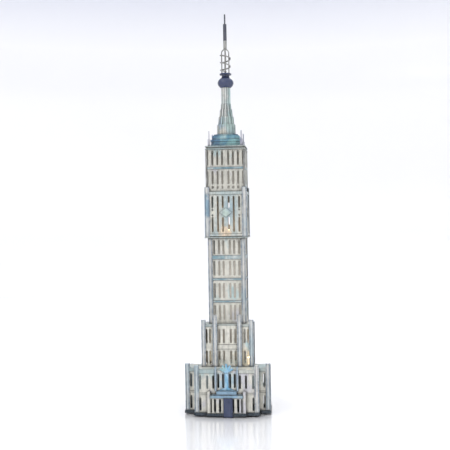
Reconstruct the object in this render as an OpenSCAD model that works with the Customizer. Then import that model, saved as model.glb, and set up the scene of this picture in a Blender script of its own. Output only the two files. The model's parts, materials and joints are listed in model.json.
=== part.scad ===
// Miniature landmark tower: a stepped skyscraper built from slotted sheet-metal walls,
// grooved corner posts and stacked plates, with a battery light inside the base.
// Millimetres. +Z is up, the front entrance faces -Y, and the origin is the middle of
// the footprint on the surface that the model stands on.

/* [Podium] */
// Distance from the tower's axis to the outer face of the podium posts
podium_reach = 46.9; // [46:0.1:48]
// Distance from the axis to the outer side of a podium facade
podium_half = 35.2; // [34.5:0.1:36]
// Height of the podium roof
podium_top = 51.5; // [51:0.1:52]
// Side of a square podium post
podium_post_w = 4.6; // [4.2:0.1:5]
// Distance from the axis to the outer side of the narrow block behind the podium's wings
rear_half = 26.2; // [26:0.1:26.6]
// How far in front of the axis the wings end
wing_back = 10; // [9:0.5:12]

/* [Setback] */
// Distance from the axis to the outer face of the setback's corner posts
setback_half = 29; // [28.6:0.1:29.4]
// Height of the setback roof
setback_top = 98.2; // [97.8:0.1:98.6]
// Side of a square setback post
setback_post_w = 4.6; // [4.2:0.1:4.8]

/* [Shaft] */
// Distance from the axis to the outer face of the shaft's corner posts
shaft_half = 21; // [20.8:0.1:21.6]
// Side of a square shaft post
shaft_post_w = 4.8; // [4.4:0.1:5]
// Height of the shaft's top, where the collar starts
shaft_top = 194.2; // [194:0.1:194.4]

/* [Collar] */
// Distance from the axis to the outer face of the collar's corner posts
collar_half = 23.7; // [23.4:0.1:24]
// Side of a square collar post
collar_post_w = 5.4; // [5:0.1:5.6]
// Height of the collar's top plate
collar_top = 246.2; // [246:0.1:246.4]
// How far the collar posts stand above the top plate
collar_post_rise = 5; // [3:0.5:6]

/* [Upper tower] */
// Distance from the axis to the outer side of the corner rods
upper_half = 22.3; // [22:0.1:22.4]
// Radius of a corner rod
rod_r = 1.1; // [1:0.05:1.2]
// Height of the underside of the cornice
upper_top = 293.4; // [293.2:0.1:293.6]

/* [Sheet and posts] */
// Thickness of the sheet-metal walls
sheet = 1.2; // [1:0.1:1.3]
// Width of the raised rail along each edge of a post
rail = 0.9; // [0.8:0.05:1]
// Depth of the groove between the rails
groove = 0.5; // [0.3:0.05:0.6]
// Width of a window slot
slot_w = 2; // [1.6:0.1:2.1]

/* [Base] */
// Height of the foot pads under the base plate
foot_h = 1.5; // [1.4:0.1:1.8]
// Thickness of the base plate
base_t = 3.2; // [3.1:0.1:3.4]
// How far the battery cover is drawn out, where 0 is closed
cover_out = 0; // [0:1:50]

/* [Spire] */
// Radius of the ball under the lantern
ball_r = 9.1; // [8.8:0.1:9.4]
// Radius of the wire coil's centreline
coil_r = 5.55; // [5.55:0.05:5.7]
// Height of the needle's tip, which is the height of the model
total_h = 450; // [446:1:454]

/* [Hidden] */
$fn = 48;
base_top = foot_h + base_t;
through = 500;  // length of a cut that goes right through
lead_hole_r = 4;

// --- window rows, as [bottom, top] heights ---
podium_upper_row = [30.5, 45];
podium_centre_row = [31.4, 46.8];
podium_ground_row = [6.6, 21];
podium_slots = [14.6, 21.2, 29];
podium_centre_slots = [3.9, 9];
rear_slots = [14.6, 19.2];
wing_slot_pitch = 4.8;
rear_side_slots = [0 : 6.4 : 38.4];
notch_slot_at = 40.4;
wing_back_slots = [31.4, 38];
setback_rows = [[53.6, 69.2], [77.6, 93.2]];
setback_slots = [3.9, 8.9, 19.3, 23.1];
shaft_rows = [[102.4, 119], [127, 143.6], [152.2, 168.4], [176.2, 191.6]];
shaft_slots = [3.65, 8.5, 14.05];
shaft_courses = [[122, 124], [146.8, 149], [170.4, 174.6]];
setback_side_slots = [9.5, 14.5, 19.5];
shaft_wall_half = shaft_half - shaft_post_w + groove;
setback_bay_x = 13.6;
setback_bay_t = 2.6;
upper_rows = [[249.4, 252.6], [254.4, 269.2], [275.8, 292]];
upper_slots = [3.45, 8.8, 14.4];
upper_edge_slot = 20.1;
rear_slot_w = 1.6;
shaft_rear_slots = [2.7, 9.2, 14.8];
shaft_rear_foot_slots = [2.5, 11.1];
upper_rear_slots = [2.6, 9.2, 15.1];
collar_rear_slots = [9.6, 15.8];
collar_rear_centre = [209, 235];
setback_band = [71, 75.8];
podium_ledge = [24.4, 25.8];
band_t = 0.5;
collar_row = [201, 241];
collar_waist = [217.6, 227.8];
lozenge = [7, 5.3];
collar_slots = [3.35, 8.9, 15];

// --- podium ---
podium_wall_y = podium_reach - rail;
podium_wall_half = podium_half - podium_post_w + groove;
podium_post_a = podium_half - podium_post_w / 2;
podium_post_b = podium_reach - podium_post_w / 2;
podium_post_rise = 4.2;
lip = 0.7;
notch_face = podium_half - rail;
rear_face = rear_half - rail;
wing_face = wing_back + rail;
fascia_t = 0.7;
fascia_h = 4.2;
mullion_x = 11.9;
mullion_w = 1.8;

// --- porch and door, at the front and the back ---
porch_y = podium_wall_y + 4;
porch_half = 21;
porch_post_w = 3;
canopy_z = [21.2, 24.6, 28.2];
canopy_half = [18, 11];
porch_slots = [[7.1, 12.6], 16.6];
porch_rear_slots = [[10.2], 16.8];
porch_slot_w = [2.2, 1.4];
pier_half = 2;
pier_foot = [10.5, 3.6];
crest_petal = [2.4, 8.4];
crest_turn = 30;
crest_taper = 0.75;
crest_out = 1.6;
crest_t = 0.9;
door_half = 4.9;
door_x = 1.8;
door_foot = 0.4;
door_t = 1.2;
door_y = porch_y + lip + door_t;

// --- battery light; the cover draws out towards +Y, under the rear doorway ---
cell_r = 5.25;
cell_len = 44.5;
cell_pitch = 10.9;
cell_count = 3;
cell_z = 10.1;
tray_wall = 1.4;
tray_half_w = 18;
tray_half_l = 27.5;
tray_top = 17.6;
flange_t = 1.5;
flange_out = 5.4;
cover_half_w = 17;
cover_half_l = 27.6;
cover_t = 1.9;
cover_gap = 0.3;
tongue_out = 1.4;
tongue_t = 0.9;
cover_z = foot_h + 0.1;
screw_r = 0.95;
screw_hole_r = 1;
screw_head_r = 1.8;
screw_head_h = 1.2;
screw_at = [21.2, 20];
switch_y = -36;
switch_travel = 3;
switch_body_size = [9, 4, 4];
slider_size = [3.2, 2];
lamp_r = 2.5;
lamp_flange_r = 2.9;
lamp_len = 8.6;
right_lamp_at = [22.2, -14.5];
left_lamp_at = [-15.8, -14.5];
foot_r = 3.4;
feet_at = [[29, -41], [22.9, 44]];
lead_r = 0.6;

// --- crown and spire ---
cornice_h = 4.1;
crown_z = upper_top + cornice_h;
tier_1 = [17, 4.6, 7.6];  // half width, corner chamfer, height
tier_2 = [15.4, 4.4, 6.2];
tier_2_slope = 1.6;
finial_at = 18.2;
finial_r = [1.5, 0.7];
finial_h = [7.6, 17];
mast_z = crown_z + tier_1[2] + tier_2[2];
mast_base_h = 35.4;
mast_flutes = 12;
mast_rod_r = 1;
mast_rod_at = 4.35;
mast_core_r = 4.5;
mast_rod_h = 18.7;
mast_fin_t = 1.4;
ball_z = mast_z + mast_base_h + mast_rod_h;
ball_h = 11.8;
neck_z = ball_z + ball_h;
neck_h = 2.8;
disc_h = 1.9;
lantern_z = neck_z + neck_h + disc_h;
cage_r = 4.1;
wire_r = 0.65;
cage_h = 28.3;
coil_start = 1.4;
coil_pitch = 8.7;
coil_turns = 2.3;
coil_wire_r = 0.75;
coil_sides = 8;
coil_steps = 24;
sleeve_z = lantern_z + cage_h;
sleeve_h = 9.2;
tube_h = 18.9;
spire_r = 2.05;
needle_r = 0.85;
needle_z = sleeve_z + sleeve_h + tube_h;

// ---------- helpers ----------

// Repeats its children on the four sides of the tower.
module four_sides() {
    for (k = [0 : 3]) rotate(90 * k) children();
}

module front_and_back() {
    children();
    rotate(180) children();
}

// Repeats its children at +x and -x.
module both_sides() {
    children();
    mirror([1, 0, 0]) children();
}

// A flat upright plate that faces -Y, with its outer face at y = -face. Its 2D child is
// drawn in x and z.
module upright(face, t) {
    translate([0, t - face, 0]) rotate([90, 0, 0]) linear_extrude(t) children();
}

// A window slot with round ends, centred on x.
module slot(x, row, w = slot_w) {
    translate([x - w / 2, row[0] + w / 2]) square([w, row[1] - row[0] - w]);
    for (z = [row[0] + w / 2, row[1] - w / 2]) translate([x, z]) circle(w / 2, $fn = 16);
}

// One row of slots, mirrored about the wall's centre line.
module slot_row(xs, row, w = slot_w) {
    for (x = xs, s = [-1, 1]) slot(s * x, row, w);
}

module wall_outline(half, z0, z1) {
    translate([-half, z0]) square([2 * half, z1 - z0]);
}

// Section of a square post with a groove down each face.
module post_section(w) {
    difference() {
        square(w, center = true);
        for (a = [0 : 90 : 270])
            rotate(a) translate([0, w / 2]) square([w - 2 * rail, 2 * groove], center = true);
    }
}

module post(x, y, w, z0, z1) {
    translate([x, y, z0]) linear_extrude(z1 - z0) post_section(w);
}

// Rectangle centred on the axis with its corners cut off.
module chamfered_square(half, cut) {
    inner = half - cut;
    polygon([[-inner, -half], [inner, -half], [half, -inner], [half, inner],
             [inner, half], [-inner, half], [-half, inner], [-half, -inner]]);
}

// A rectangle across the axis, from y0 to y1.
module across(half, y0, y1) {
    translate([-half, y0]) square([2 * half, y1 - y0]);
}

// The podium's plan, grown outwards: a broad front, a shallow wing on each side set back
// from it, and a narrow block behind.
module podium_plan(grow) {
    across(podium_half + grow, -podium_reach - grow, grow - wing_back);
    across(podium_reach + grow, -podium_half - grow, grow - wing_back);
    across(rear_half + grow, -podium_half, podium_reach + grow);
}

// ---------- base and battery light ----------

// Channel in which the battery cover slides, open at its far end.
module cover_channel(reach) {
    w = 2 * (cover_half_w + cover_gap);
    length = cover_half_l + cover_gap + reach;
    translate([-w / 2, -cover_half_l - cover_gap, 0]) cube([w, length, cover_z + cover_t + cover_gap]);
    translate([-w / 2 - tongue_out, -cover_half_l - cover_gap, cover_z + cover_t - tongue_t - cover_gap])
        cube([w + 2 * tongue_out, length, tongue_t + 2 * cover_gap]);
}

module at_screws() {
    for (x = [-1, 1], y = [-1, 1]) translate([x * screw_at[0], y * screw_at[1], 0]) children();
}

module base_plate() {
    color("#2f3547") difference() {
        translate([0, 0, foot_h]) linear_extrude(base_t) union() {
            podium_plan(lip);
            across(porch_half + lip, -porch_y - lip, door_y);
        }
        cover_channel(60);
        // battery opening above the cover
        translate([-tray_half_w + tray_wall, -tray_half_l + tray_wall, 0])
            cube([2 * (tray_half_w - tray_wall), 2 * (tray_half_l - tray_wall), through]);
        at_screws() {
            cylinder(r = screw_hole_r, h = through);
            cylinder(r = screw_head_r + 0.1, h = foot_h + screw_head_h + 0.1);
        }
        // slot for the switch's slider
        translate([0, switch_y, 0])
            cube([slider_size[0] + switch_travel + 0.8, slider_size[1] + 0.6, through], center = true);
    }
}

module foot_pads() {
    color("#20242e") both_sides() for (p = feet_at)
        translate([p[0], p[1], 0]) cylinder(r = foot_r, h = foot_h);
}

module battery_tray() {
    inner = [2 * (tray_half_w - tray_wall), 2 * (tray_half_l - tray_wall)];
    color("#3a3d42") difference() {
        union() {
            translate([-tray_half_w, -tray_half_l, base_top])
                cube([2 * tray_half_w, 2 * tray_half_l, tray_top - base_top]);
            translate([-tray_half_w - flange_out, -24, base_top])
                cube([2 * (tray_half_w + flange_out), 48, flange_t]);
        }
        translate([-inner[0] / 2, -inner[1] / 2, 0]) cube([inner[0], inner[1], tray_top - tray_wall]);
        at_screws() cylinder(r = screw_hole_r, h = through);
        // holes for the leads of the upper lamp and of the left one
        for (p = [[0, 0], left_lamp_at])
            translate([p[0], p[1], tray_top - tray_wall - 1]) cylinder(r = lead_r, h = through);
    }
}

module battery_cells() {
    color("#b9bcc4") for (k = [0 : cell_count - 1])
        translate([(k - (cell_count - 1) / 2) * cell_pitch, 0, cell_z])
            rotate([k % 2 == 0 ? 90 : -90, 0, 0]) {
                translate([0, 0, -cell_len / 2]) cylinder(r = cell_r, h = cell_len - 1);
                translate([0, 0, cell_len / 2 - 1]) cylinder(r = 1.9, h = 1);
            }
}

// A plate at each end of each cell, with a conical spring drawn as a solid cone.
module battery_contacts() {
    wall_y = tray_half_l - tray_wall;
    color("#c9b06a") for (k = [0 : cell_count - 1], s = [-1, 1]) {
        x = (k - (cell_count - 1) / 2) * cell_pitch;
        translate([x - 4, s * (wall_y - 0.3) - 0.3, cell_z - 4]) cube([8, 0.6, 8]);
        translate([x, s * cell_len / 2, cell_z]) rotate([-90 * s, 0, 0])
            cylinder(r1 = 1.4, r2 = 3, h = wall_y - 0.6 - cell_len / 2);
    }
}

module battery_cover() {
    color("#2f3547") translate([0, cover_out, cover_z]) difference() {
        union() {
            translate([-cover_half_w, -cover_half_l, 0]) cube([2 * cover_half_w, 2 * cover_half_l, cover_t]);
            translate([-cover_half_w - tongue_out, -cover_half_l, cover_t - tongue_t])
                cube([2 * (cover_half_w + tongue_out), 2 * cover_half_l, tongue_t]);
        }
        // grip lines for the thumb
        for (k = [0 : 5]) translate([-6, cover_half_l - 16 + 2 * k, -0.5]) cube([12, 0.9, 1]);
    }
}

module base_screws() {
    color("silver") at_screws() translate([0, 0, foot_h]) difference() {
        union() {
            cylinder(r = screw_r, h = base_t + flange_t);
            cylinder(r = screw_head_r, h = screw_head_h);
        }
        for (a = [0, 90]) rotate(a) cube([2.2, 0.5, 1], center = true);
    }
}

module switch_body() {
    color("#d7d9dd") translate([0, switch_y, base_top + switch_body_size[2] / 2]) difference() {
        cube(switch_body_size, center = true);
        // track of the slider
        translate([0, 0, -switch_body_size[2] / 2])
            cube([slider_size[0] + switch_travel + 0.8, slider_size[1] + 0.4, 3], center = true);
    }
}

// At rest the slider is at its "on" end, towards +X.
module switch_slider() {
    x = (switch_travel - slider_size[0]) / 2;
    color("#20242e") translate([x, switch_y - slider_size[1] / 2, foot_h + 0.2])
        difference() {
            cube([slider_size[0], slider_size[1], base_t + 1]);
            for (k = [0 : 2]) translate([0.5 + 0.9 * k, -1, -0.1]) cube([0.4, 4, 0.4]);
        }
}

// ---------- podium ----------

// The facade with the doorway, at the front and, narrower, at the back.
module podium_facade(half, slots) {
    color("#d9dccb") union() {
        upright(podium_wall_y, sheet) difference() {
            wall_outline(half - podium_post_w + groove, base_top, podium_top - sheet);
            slot_row(slots, podium_upper_row);
            slot_row(podium_centre_slots, podium_centre_row);
            slot_row([podium_slots[2]], podium_ground_row);
            wall_outline(porch_half - 5, base_top + 1, canopy_z[0] - 1);
        }
        // ledge between the window rows
        upright(podium_wall_y + band_t, band_t) difference() {
            wall_outline(half - podium_post_w, podium_ledge[0], podium_ledge[1]);
            wall_outline(porch_half, 0, podium_top);
        }
    }
}

// The outer side of a wing, drawn facing -Y.
module wing_side(mirrored) {
    middle = (podium_half + wing_back) / 2 * (mirrored ? -1 : 1);
    half = (podium_half - wing_back) / 2 - podium_post_w + groove;
    color("#d9dccb") upright(podium_wall_y, sheet) translate([middle, 0]) difference() {
        wall_outline(half, base_top, podium_top - sheet);
        for (row = [podium_ground_row, podium_upper_row], k = [-1 : 1]) slot(k * wing_slot_pitch, row);
    }
}

// Cuts the slots of both window rows through a wall that runs along x.
module cut_along_x(y, xs) {
    for (x = xs, row = [podium_ground_row, podium_upper_row])
        translate([0, y + 3, 0]) rotate([90, 0, 0]) linear_extrude(6) slot(x, row);
}

// Cuts the slots of both window rows through a wall that runs along y.
module cut_along_y(x, ys) {
    for (y = ys, row = [podium_ground_row, podium_upper_row])
        translate([x - 3, 0, 0]) rotate([90, 0, 90]) linear_extrude(6) slot(y, row);
}

// Folded panels that close the notches beside the front, and the wings' backs together
// with the sides of the rear block.
module podium_corner_panels() {
    inner = notch_face - sheet;
    end = podium_post_b - podium_post_w / 2 + groove;
    rear_inner = rear_face - sheet;
    wing_inner = wing_face + sheet;
    h = podium_top - sheet - base_top;
    color("#d5d8cc") both_sides() {
        difference() {
            translate([0, 0, base_top]) linear_extrude(h)
                polygon([[inner, -inner], [end, -inner], [end, -notch_face],
                         [notch_face, -notch_face], [notch_face, -end], [inner, -end]]);
            cut_along_x(-notch_face, [notch_slot_at]);
            cut_along_y(notch_face, [-notch_slot_at]);
        }
        translate([notch_face, -notch_face - band_t, podium_ledge[0]])
            cube([end - groove - notch_face, band_t + sheet / 2, podium_ledge[1] - podium_ledge[0]]);
        difference() {
            translate([0, 0, base_top]) linear_extrude(h)
                polygon([[rear_inner, -wing_inner], [end, -wing_inner], [end, -wing_face],
                         [rear_face, -wing_face], [rear_face, end], [rear_inner, end]]);
            cut_along_x(-wing_face, wing_back_slots);
            cut_along_y(rear_face, rear_side_slots);
        }
    }
}

// The wings' rear posts end flush with the roof, and all others stand above it.
module podium_posts() {
    tall = podium_top + podium_post_rise;
    color("#b4c3d6") both_sides() {
        post(podium_post_a, -podium_post_b, podium_post_w, base_top, tall);
        post(podium_post_b, -podium_post_a, podium_post_w, base_top, tall);
        post(podium_post_b, -wing_back - podium_post_w / 2, podium_post_w, base_top, podium_top);
        post(rear_half - podium_post_w / 2, podium_post_b, podium_post_w, base_top, tall);
    }
}

module podium_post_holes() {
    w = podium_post_w;
    for (p = [[podium_post_a, -podium_post_b], [podium_post_b, -podium_post_a],
              [podium_post_b, -wing_back - w / 2], [rear_half - w / 2, podium_post_b]])
        translate([p[0], p[1], 0]) linear_extrude(through) square(w, center = true);
}

module podium_roof() {
    top = podium_top - sheet;
    pier_edge = mullion_x + mullion_w / 2 + 0.2;
    color("#a9b4b4") difference() {
        union() {
            translate([0, 0, top]) linear_extrude(sheet) podium_plan(fascia_t / 2 - rail);
            // fascia strips beside the entrance, over the wings and at the back
            both_sides() translate([0, 0, podium_top - fascia_h]) {
                translate([pier_edge, -podium_wall_y - fascia_t, 0])
                    cube([podium_post_a - pier_edge, fascia_t, fascia_h]);
                translate([notch_face, -notch_face - fascia_t, 0])
                    cube([podium_reach - notch_face, fascia_t, fascia_h]);
                translate([pier_edge, podium_wall_y, 0]) cube([rear_face - pier_edge, fascia_t, fascia_h]);
            }
        }
        both_sides() podium_post_holes();
        // round holes for the lower lamps, and one for the lead of the upper lamp
        for (p = [right_lamp_at, left_lamp_at]) translate([p[0], p[1], 0]) cylinder(r = lamp_r, h = through);
        cylinder(r = lead_hole_r, h = through);
        // clear of the pier and the mullions
        front_and_back() translate([-mullion_x - mullion_w / 2, -podium_wall_y - 3, 0])
            cube([2 * mullion_x + mullion_w, 3, through]);
    }
}

// The colonnade in front of a doorway. The front and the back have their slots at other places.
module porch_screen(slots) {
    row = [base_top + 0.8, canopy_z[0] - 1];
    upright(porch_y, sheet) difference() {
        wall_outline(porch_half - porch_post_w, base_top, canopy_z[0]);
        slot_row(slots[0], row, porch_slot_w[0]);
        slot_row([slots[1]], row, porch_slot_w[1]);
    }
    both_sides() translate([porch_half - porch_post_w, -porch_y - 0.4, base_top])
        cube([porch_post_w, porch_y + 0.4 - podium_wall_y, canopy_z[2] - base_top]);
}

module porch_screens() {
    color("#e6e3d2") {
        porch_screen(porch_slots);
        side(2) porch_screen(porch_rear_slots);
    }
}

module porch_canopies() {
    depth = porch_y + 0.9 - podium_wall_y;
    color("#5f8fb0") front_and_back() union() {
        translate([-canopy_half[0], -porch_y - 0.9, canopy_z[0]])
            cube([2 * canopy_half[0], depth, canopy_z[1] - canopy_z[0] - 0.6]);
        translate([-canopy_half[0] + 0.4, -porch_y, canopy_z[0]])
            cube([2 * canopy_half[0] - 0.8, depth - 0.9, canopy_z[1] - canopy_z[0]]);
        translate([-canopy_half[1], -porch_y + 0.6, canopy_z[0]])
            cube([2 * canopy_half[1], depth - 1.5, canopy_z[2] - canopy_z[0]]);
    }
}

// The front door stands before the base plate's edge. The rear one stands on the plate,
// above the battery cover's way out.
module door_panels() {
    color("#4a4a66") {
        upright(door_y, door_t) translate([door_x, 0]) wall_outline(door_half, door_foot, canopy_z[0]);
        side(2) upright(porch_y + door_t, door_t) translate([door_x, 0])
            wall_outline(door_half, base_top, canopy_z[0]);
    }
}

// Blue centre pier between the middle windows over the entrance, with two mullions.
module entrance_pier() {
    color("#79add2") front_and_back() upright(podium_wall_y + fascia_t, fascia_t) union() {
        wall_outline(pier_half, canopy_z[2], podium_top + 1.5);
        polygon([[-pier_foot[0], canopy_z[2]], [pier_foot[0], canopy_z[2]],
                 [pier_half, canopy_z[2] + pier_foot[1]], [-pier_half, canopy_z[2] + pier_foot[1]]]);
    }
    color("#c3d0dc") front_and_back() upright(podium_wall_y + 1.4, 1.4) both_sides()
        translate([mullion_x - mullion_w / 2, canopy_z[2]]) square([mullion_w, podium_top + 3 - canopy_z[2]]);
}

// Fan-shaped crest at the head of the pier.
module entrance_crest() {
    color("#5f9cc0") front_and_back() upright(podium_wall_y + crest_out, crest_t) for (k = [-2 : 2]) {
        length = crest_petal[1] - abs(k) * crest_taper;
        translate([0, podium_top - 3]) rotate(k * crest_turn) {
            translate([-crest_petal[0] / 2, 0]) square([crest_petal[0], length]);
            translate([0, length]) circle(crest_petal[0] / 2, $fn = 16);
        }
    }
}

// ---------- setback ----------

// The side walls of the setback, drawn facing -Y.
module setback_side(mirrored) {
    from = setback_post_w - groove;
    color("#dcdccc") upright(setback_half - rail, sheet) mirror([mirrored ? 1 : 0, 0]) difference() {
        translate([from, podium_top])
            square([setback_half - 2 * from, setback_top - sheet - podium_top]);
        for (row = setback_rows, x = setback_side_slots) slot(x, row, slot_w - 0.1);
    }
}

// The setback is only half as deep as it is wide: its rear posts stand at the axis.
module setback_posts() {
    corner = setback_half - setback_post_w / 2;
    color("#b4c3d6") both_sides() {
        post(corner, -corner, setback_post_w, podium_top, setback_top + 5);
        post(corner, -setback_post_w / 2, setback_post_w, podium_top, setback_top);
        translate([setback_bay_x, -setback_half + rail - setback_bay_t / 2, podium_top])
            linear_extrude(setback_top + 10.8 - podium_top) difference() {
                square([setback_post_w, setback_bay_t], center = true);
                translate([0, -setback_bay_t / 2])
                    square([setback_post_w - 2 * rail, 2 * groove], center = true);
            }
    }
}

module setback_roof() {
    top = setback_top - sheet;
    bay_outer = setback_bay_x + setback_post_w / 2;
    corner = setback_half - setback_post_w / 2;
    color("#9fb2b8") difference() {
        union() {
            translate([0, 0, top]) linear_extrude(sheet)
                across(setback_half - rail, rail - setback_half, -rail);
            both_sides() translate([bay_outer, -setback_half + rail - 0.6, setback_top - 2.4])
                cube([setback_half - setback_post_w - bay_outer, 0.6, 2.4]);
        }
        both_sides() for (y = [-corner, -setback_post_w / 2])
            translate([corner, y, 0]) linear_extrude(through) square(setback_post_w, center = true);
        cylinder(r = lead_hole_r, h = through);
    }
}

// ---------- shaft ----------

// All window slots of a shaft wall.
module shaft_windows() {
    for (row = shaft_rows) slot_row(shaft_slots, row);
}

// The sides of the shaft, drawn facing -Y. Behind the setback they go down to the podium.
module shaft_side(mirrored) {
    color("#d8d6cb") upright(shaft_half - rail, sheet) mirror([mirrored ? 1 : 0, 0]) difference() {
        union() {
            wall_outline(shaft_wall_half, setback_top, shaft_top);
            translate([-shaft_wall_half, podium_top])
                square([shaft_wall_half - rail, setback_top - podium_top]);
        }
        shaft_windows();
        for (row = setback_rows, x = shaft_slots) slot(-x, row);
    }
}

module shaft_corner_posts() {
    corner = shaft_half - shaft_post_w / 2;
    color("#c2ccd2") both_sides() {
        post(corner, -corner, shaft_post_w, setback_top, shaft_top);
        post(corner, corner, shaft_post_w, podium_top, shaft_top);
    }
}

module string_courses() {
    color("#7f9fb2") four_sides() for (z = shaft_courses) upright(shaft_half - 0.2, rail - 0.2)
        wall_outline(shaft_half - shaft_post_w, z[0], z[1]);
}

// ---------- collar ----------

module collar_wall(rear = false) {
    face = collar_half - rail;
    mid = (collar_waist[0] + collar_waist[1]) / 2;
    low = [collar_row[0], collar_waist[0]];
    high = [collar_waist[1], collar_row[1]];
    color("#cfd8d4") union() {
        upright(face, sheet) difference() {
            wall_outline(collar_half - collar_post_w + groove, shaft_top + sheet, collar_top - sheet);
            if (rear) {
                slot(0, collar_rear_centre);
                slot_row(collar_rear_slots, collar_row, rear_slot_w);
            }
            if (!rear) {
                for (row = [low, high]) slot_row([collar_slots[0], collar_slots[2]], row);
                slot_row([collar_slots[1]], collar_row);
                for (s = [-1, 1], z = [mid - 3, mid + 3])
                    translate([s * collar_slots[2], z]) circle(slot_w / 2, $fn = 16);
            }
        }
        // raised lozenge at the waist, except at the back, and a frame strip along the foot
        upright(face + 0.7, 0.7) {
            if (!rear)
                translate([0, mid])
                    polygon([[-lozenge[0], 0], [0, -lozenge[1]], [lozenge[0], 0], [0, lozenge[1]]]);
            wall_outline(collar_half - collar_post_w, shaft_top + sheet + 1, shaft_top + sheet + 3.2);
        }
    }
}

// Above the top plate the posts are angles that wrap the corners of the upper tower.
module collar_posts() {
    corner = collar_half - collar_post_w / 2;
    color("#aebfc9") difference() {
        four_sides() post(corner, -corner, collar_post_w, shaft_top + sheet, collar_top + collar_post_rise);
        translate([-upper_half, -upper_half, collar_top]) cube([2 * upper_half, 2 * upper_half, 20]);
    }
}

module collar_plates() {
    color("#7fa0a8") {
        difference() {
            translate([0, 0, shaft_top]) linear_extrude(sheet) square(2 * (collar_half + 0.3), center = true);
            cylinder(r = lamp_r, h = through);
        }
        difference() {
            union() {
                translate([0, 0, collar_top - sheet]) linear_extrude(sheet)
                    square(2 * (collar_half - rail), center = true);
                four_sides() upright(collar_half - rail + 0.6, 0.6)
                    wall_outline(collar_half - collar_post_w, collar_top - 3.4, collar_top);
            }
            four_sides() translate([collar_half - collar_post_w / 2, -collar_half + collar_post_w / 2, 0])
                linear_extrude(through) square(collar_post_w, center = true);
            cylinder(r = 2 * lead_hole_r, h = through);
        }
    }
}

// ---------- upper tower ----------

module upper_wall(xs = concat(upper_slots, [upper_edge_slot]), w = slot_w) {
    color("#dcdacd") upright(upper_half - 0.7, sheet) difference() {
        wall_outline(upper_half - 2 * rod_r, collar_top, upper_top);
        for (row = upper_rows) slot_row(xs, row, w);
    }
}

module upper_corner_rods() {
    at = upper_half - rod_r;
    color("#a9adb0") four_sides()
        translate([at, -at, collar_top]) cylinder(r = rod_r, h = upper_top - collar_top);
}

module upper_ledges() {
    color("#8fa0a5") four_sides() upright(upper_half - 0.1, 0.6)
        wall_outline(upper_half - 2 * rod_r, 271.4, 273.6);
}

module cornice_plate() {
    layers = [[0, sheet, 0.3], [sheet, cornice_h - sheet, -0.9], [cornice_h - sheet, cornice_h, 0.3]];
    color("#a7b3b3") difference() {
        union() for (l = layers)
            translate([0, 0, upper_top + l[0]]) linear_extrude(l[1] - l[0]) chamfered_square(upper_half + l[2], 1.4);
        cylinder(r = 1.5 * lead_hole_r, h = through);
    }
}

// ---------- crown and spire ----------

module crown_lower_tier() {
    color("#6d9bb4") translate([0, 0, crown_z]) difference() {
        union() {
            linear_extrude(tier_1[2]) chamfered_square(tier_1[0] - 0.7, tier_1[1]);
            for (z = [0, tier_1[2] - 2.2]) translate([0, 0, z]) linear_extrude(2.2) chamfered_square(tier_1[0], tier_1[1]);
        }
        translate([0, 0, -1]) linear_extrude(tier_1[2] - 0.4) chamfered_square(tier_1[0] - 2.2, tier_1[1]);
    }
}

module crown_upper_tier() {
    h = tier_2[2] - tier_2_slope;
    color("#7fabbf") translate([0, 0, crown_z + tier_1[2]]) difference() {
        union() {
            linear_extrude(h) chamfered_square(tier_2[0], tier_2[1]);
            translate([0, 0, h]) linear_extrude(tier_2_slope) chamfered_square(tier_2[0] - 1.8, tier_2[1]);
        }
        translate([0, 0, -1]) linear_extrude(h) chamfered_square(tier_2[0] - 2, tier_2[1]);
    }
}

module corner_finials() {
    color("#b7bcc4") four_sides() translate([finial_at, -finial_at, crown_z])
        for (k = [0, 1]) cylinder(r = finial_r[k], h = finial_h[k]);
}

// Outline of the mast's stepped foot as [half width, height] points, from the bottom up.
foot_steps = [[10.7, 0], [10.5, 11.5], [9.1, 12.8], [8.6, 20.5], [7.5, 21.6], [6.9, 29], [6, 30], [5.7, mast_base_h]];

module mast_base() {
    core_in = 1.3;
    color("#c3ccc8") translate([0, 0, mast_z]) union() {
        rotate_extrude() polygon(concat([[0, 0]], [for (p = foot_steps) [p[0] - core_in, p[1]]], [[0, mast_base_h]]));
        // stepped buttress fins
        for (k = [0 : mast_flutes - 1]) rotate(360 * k / mast_flutes)
            translate([0, mast_fin_t / 2, 0]) rotate([90, 0, 0]) linear_extrude(mast_fin_t)
                polygon(concat([[0, 0]], foot_steps, [[0, mast_base_h]]));
    }
}

// Round column with a ring of half-round flutes.
module mast_column() {
    color("#c5cacb") translate([0, 0, mast_z + mast_base_h]) union() {
        cylinder(r = mast_core_r, h = mast_rod_h);
        for (k = [0 : mast_flutes - 1]) rotate(360 * k / mast_flutes)
            translate([mast_rod_at, 0, 0]) cylinder(r = mast_rod_r, h = mast_rod_h, $fn = 24);
    }
}

// A flattened ball with a plain band round its foot.
module mast_ball() {
    n = 16;
    foot = 52;
    head = 62;
    color("#2f3f6b") translate([0, 0, ball_z]) rotate_extrude() polygon(concat(
        [[0, 0], [5.6, 0]],
        [for (k = [0 : n]) let (a = -foot + k * (foot + head) / n)
            [ball_r * cos(a), ball_h * (sin(a) + sin(foot)) / (sin(head) + sin(foot))]],
        [[0, ball_h]]));
}

// Turned neck with the flange that carries the lantern.
module mast_neck() {
    color("#27314f") translate([0, 0, neck_z]) rotate_extrude() polygon([
        [0, 0], [4.9, 0], [4.3, 0.9], [4.3, 1.8], [4.8, neck_h],
        [6.4, neck_h], [6.7, neck_h + 0.4], [6.7, neck_h + 1.5], [6.4, neck_h + disc_h], [0, neck_h + disc_h]]);
}

module lantern_cage() {
    straight = cage_h - cage_r - wire_r;
    color("#9a9a92") translate([0, 0, lantern_z]) for (a = [0, 90]) rotate(a) {
        for (s = [-1, 1]) translate([s * cage_r, 0, 0]) cylinder(r = wire_r, h = straight, $fn = 24);
        translate([0, 0, straight]) rotate([90, 0, 0]) rotate_extrude(angle = 180)
            translate([cage_r, 0]) circle(wire_r, $fn = 24);
    }
}

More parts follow.
